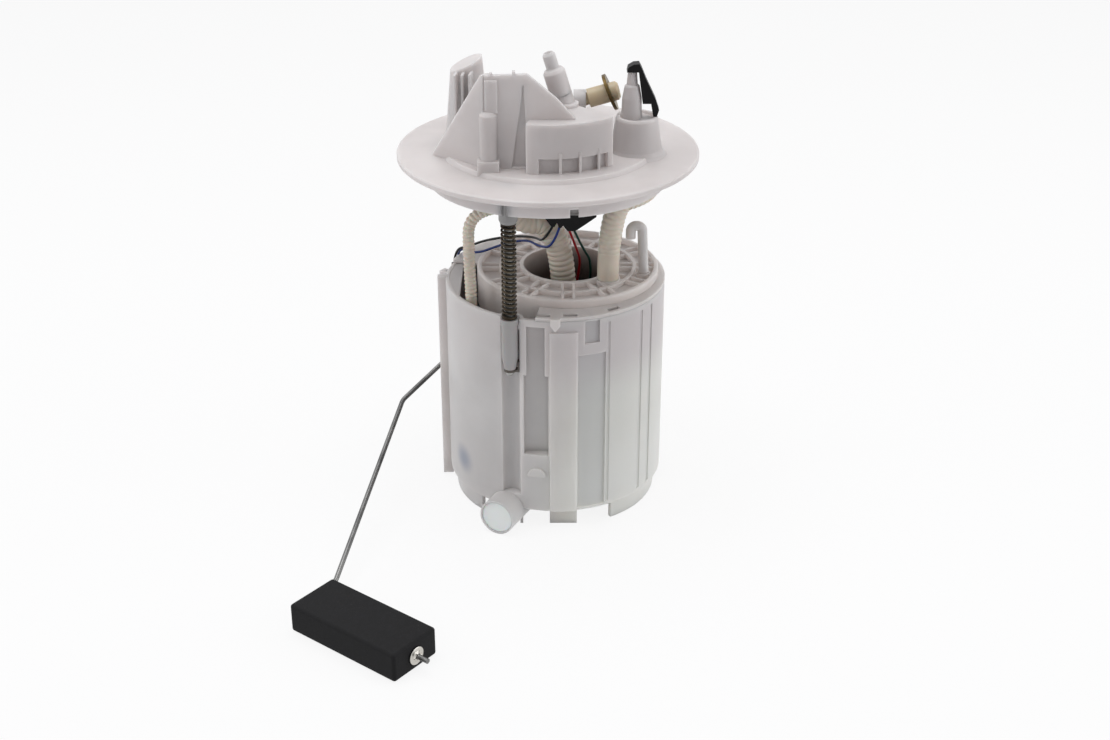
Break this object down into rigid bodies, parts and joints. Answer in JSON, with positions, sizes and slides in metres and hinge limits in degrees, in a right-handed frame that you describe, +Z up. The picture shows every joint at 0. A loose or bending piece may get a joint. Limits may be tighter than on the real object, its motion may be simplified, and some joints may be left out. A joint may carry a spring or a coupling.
{
  "type": "fuel pump module",
  "caption": "In-tank fuel pump module: round port flange on sprung rods over a reservoir bowl with pump, corrugated hoses, wiring and a level sender with wire arm and foam float.",
  "frame": {"origin": "centre of the flange's seating face, on the axis of the neck that enters the tank opening", "axes": "+Z up out of the tank along the neck axis, -Y towards the side seen in the picture with the front guide rod, +X to the right in that view"},
  "size_m": [0.1946, 0.2608, 0.2396],
  "materials": {
    "natural_moulding": "natural acetal, slightly milky and semi matt",
    "tinned_contact": "tin plated",
    "amber_moulding": "amber nylon",
    "bronze_clip": "dark spring bronze",
    "black_moulding": "black acetal",
    "grey_moulding": "grey acetal",
    "pale_moulding": "pale grey acetal",
    "dark_moulding": "dark glass-filled polymer",
    "rod_steel": "ground steel",
    "spring_steel": "oiled spring steel",
    "can_steel": "plated steel",
    "cast_aluminium": "die cast",
    "carbon": "pressed carbon",
    "ferrite": "sintered ferrite",
    "black_rubber": "fuel resistant rubber",
    "strainer_cloth": "fine polymer mesh",
    "copper_winding": "enamelled copper on laminations",
    "commutator_copper": "turned copper",
    "hose_beige": "natural polyamide",
    "wire_red": "insulated wire",
    "wire_green": "insulated wire",
    "wire_black": "insulated wire",
    "wire_blue": "insulated wire",
    "ceramic": "ceramic with printed tracks",
    "arm_wire": "drawn steel wire, zinc plated",
    "float_foam": "closed-cell foam"
  },
  "bodies": {
    "reservoir_body": {"spring_front": "spring_steel", "spring_rear": "spring_steel", "rod_bush_front": "pale_moulding", "rod_bush_rear": "pale_moulding", "reservoir": "natural_moulding", "stub_disc": "natural_moulding", "reservoir_cap": "natural_moulding", "hook_spout": "natural_moulding", "pump_can": "can_steel", "pump_outlet_cover": "dark_moulding", "brushes": "carbon", "pump_inlet_plate": "cast_aluminium", "chamber_plate": "cast_aluminium", "magnets": "ferrite", "pump_sleeve": "black_rubber", "strainer": "strainer_cloth", "jet_nozzle": "dark_moulding", "small_hose": "hose_beige", "pump_hose": "hose_beige", "return_hose": "hose_beige", "wire_red": "wire_red", "wire_green": "wire_green", "wire_black": "wire_black", "wire_blue": "wire_blue", "sender_plate": "natural_moulding", "resistor_card": "ceramic"},
    "flange_body": {"flange": "natural_moulding", "terminal_pins": "tinned_contact", "outlet_nipple": "natural_moulding", "top_port": "natural_moulding", "port_sleeve": "amber_moulding", "port_clip": "bronze_clip", "post_clip": "black_moulding", "guide_rod_front": "rod_steel", "guide_rod_rear": "rod_steel", "rod_socket_front": "grey_moulding", "rod_socket_rear": "grey_moulding", "rod_stop_front": "black_moulding", "rod_stop_rear": "black_moulding", "inner_plug": "black_moulding"},
    "sender_arm": {"arm_hub": "grey_moulding", "wiper": "bronze_clip", "float_arm": "arm_wire", "push_nut": "rod_steel"},
    "float_body": {"float": "float_foam"},
    "pump_rotor": {"rotor_shaft": "rod_steel", "armature": "copper_winding", "commutator": "commutator_copper", "impeller": "dark_moulding"},
    "valve_body": {"foot_valve": "black_rubber"}
  },
  "joints": [
    {"name": "flange_slide", "type": "slide", "parent": "reservoir_body", "child": "flange_body", "axis": [0, 0, 1], "range_m": [-0.018, 0], "stiffness_N_per_m": 600, "springref_m": 0.02, "deforming": ["spring_front", "spring_rear", "small_hose", "pump_hose", "return_hose", "wire_red", "wire_green", "wire_black", "wire_blue"]},
    {"name": "arm_swing", "type": "hinge", "parent": "reservoir_body", "child": "sender_arm", "pos_m": [-0.04886, 0.03817, -0.125], "axis": [-0.788, 0.6157, 0], "range_deg": [0, 60]},
    {"name": "float_spin", "type": "hinge", "parent": "sender_arm", "child": "float_body", "pos_m": [-0.10756, -0.13767, -0.1766], "axis": [-0.788, 0.6157, 0], "continuous": true},
    {"name": "pump_rotor_spin", "type": "hinge", "parent": "reservoir_body", "child": "pump_rotor", "pos_m": [0.01, 0.002, -0.115], "axis": [0, 0, 1], "continuous": true},
    {"name": "foot_valve_lift", "type": "slide", "parent": "reservoir_body", "child": "valve_body", "axis": [0, 0, 1], "range_m": [0, 0.0015]}
  ]
}
